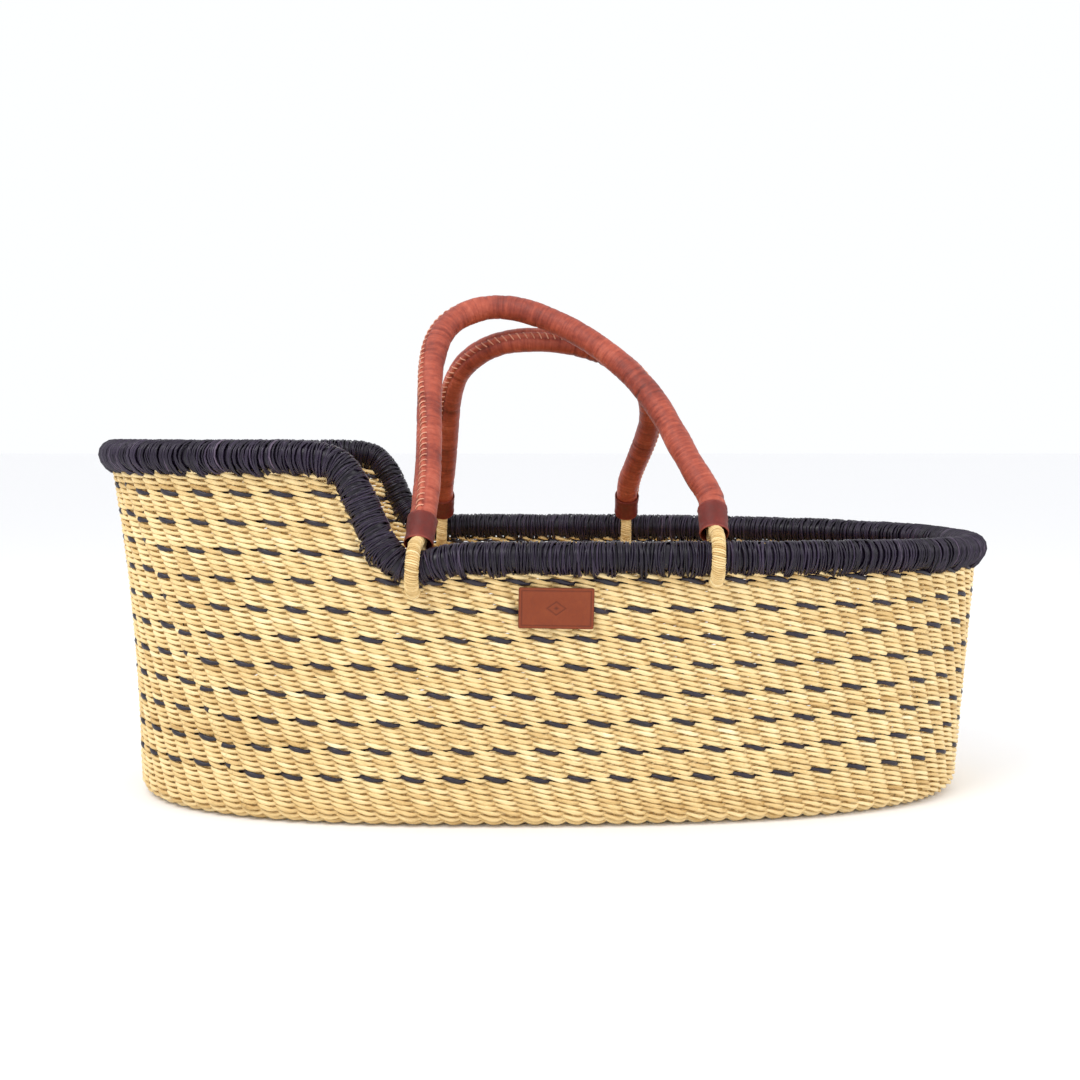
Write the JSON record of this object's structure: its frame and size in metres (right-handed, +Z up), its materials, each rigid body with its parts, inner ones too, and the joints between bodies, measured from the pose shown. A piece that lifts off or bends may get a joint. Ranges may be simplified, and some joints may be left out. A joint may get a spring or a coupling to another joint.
{
  "type": "moses basket",
  "caption": "Egg shaped twined grass baby basket with a raised head end, bound rim and two leather covered swing handles.",
  "frame": {"origin": "on the table under the middle of the basket's length and width", "axes": "+X towards the foot end, -X towards the raised head end, -Y the side with the label, +Z up"},
  "size_m": [0.8251, 0.4636, 0.4619],
  "materials": {
    "natural_weave": "dry twined elephant grass, light straw gold with soft sheen",
    "dyed_weave": "twined grass dyed navy, soft sheen",
    "stake_grass": "stiff bundled grass stakes, dull",
    "core_grass": "rough bundled grass core, hidden",
    "rim_grass": "navy dyed grass wrapped tightly, satin",
    "label_leather": "tan leather patch, smooth, blind pressed border",
    "handle_leather": "red brown goat leather, wrinkled, semi gloss",
    "lacing_leather": "red brown leather lace",
    "cuff_leather": "darker red leather cuffs, smooth",
    "loop_straw": "pale straw binding wound round a loop"
  },
  "bodies": {
    "basket": {"outer_weave": "natural_weave", "inner_weave": "natural_weave", "accent_course_01": "dyed_weave", "accent_course_02": "dyed_weave", "accent_course_03": "dyed_weave", "accent_course_04": "dyed_weave", "accent_course_05": "dyed_weave", "accent_course_06": "dyed_weave", "accent_course_07": "dyed_weave", "accent_course_08": "dyed_weave", "accent_course_09": "dyed_weave", "accent_course_10": "dyed_weave", "accent_course_11": "dyed_weave", "front_stakes": "stake_grass", "back_stakes": "stake_grass", "head_stakes": "stake_grass", "foot_stakes": "stake_grass", "base_cross_stakes": "stake_grass", "rim_core": "core_grass", "rim_binding": "rim_grass", "label_patch": "label_leather"},
    "front_handle": {"front_handle_core": "core_grass", "front_handle_sleeve": "handle_leather", "front_handle_lacing": "lacing_leather", "front_handle_left_cuff": "cuff_leather", "front_handle_right_cuff": "cuff_leather", "front_handle_left_loop": "loop_straw", "front_handle_right_loop": "loop_straw"},
    "back_handle": {"back_handle_core": "core_grass", "back_handle_sleeve": "handle_leather", "back_handle_lacing": "lacing_leather", "back_handle_left_cuff": "cuff_leather", "back_handle_right_cuff": "cuff_leather", "back_handle_left_loop": "loop_straw", "back_handle_right_loop": "loop_straw"}
  },
  "joints": [
    {"name": "front_handle_swing", "type": "hinge", "parent": "basket", "child": "front_handle", "pos_m": [0.016, -0.20193, 0.22541], "axis": [0.9988, 0.0347, 0.0332], "range_deg": [0, 150]},
    {"name": "back_handle_swing", "type": "hinge", "parent": "basket", "child": "back_handle", "pos_m": [-0.012, 0.2051, 0.23004], "axis": [-0.9998, 0.0174, 0.0024], "range_deg": [0, 150]}
  ]
}
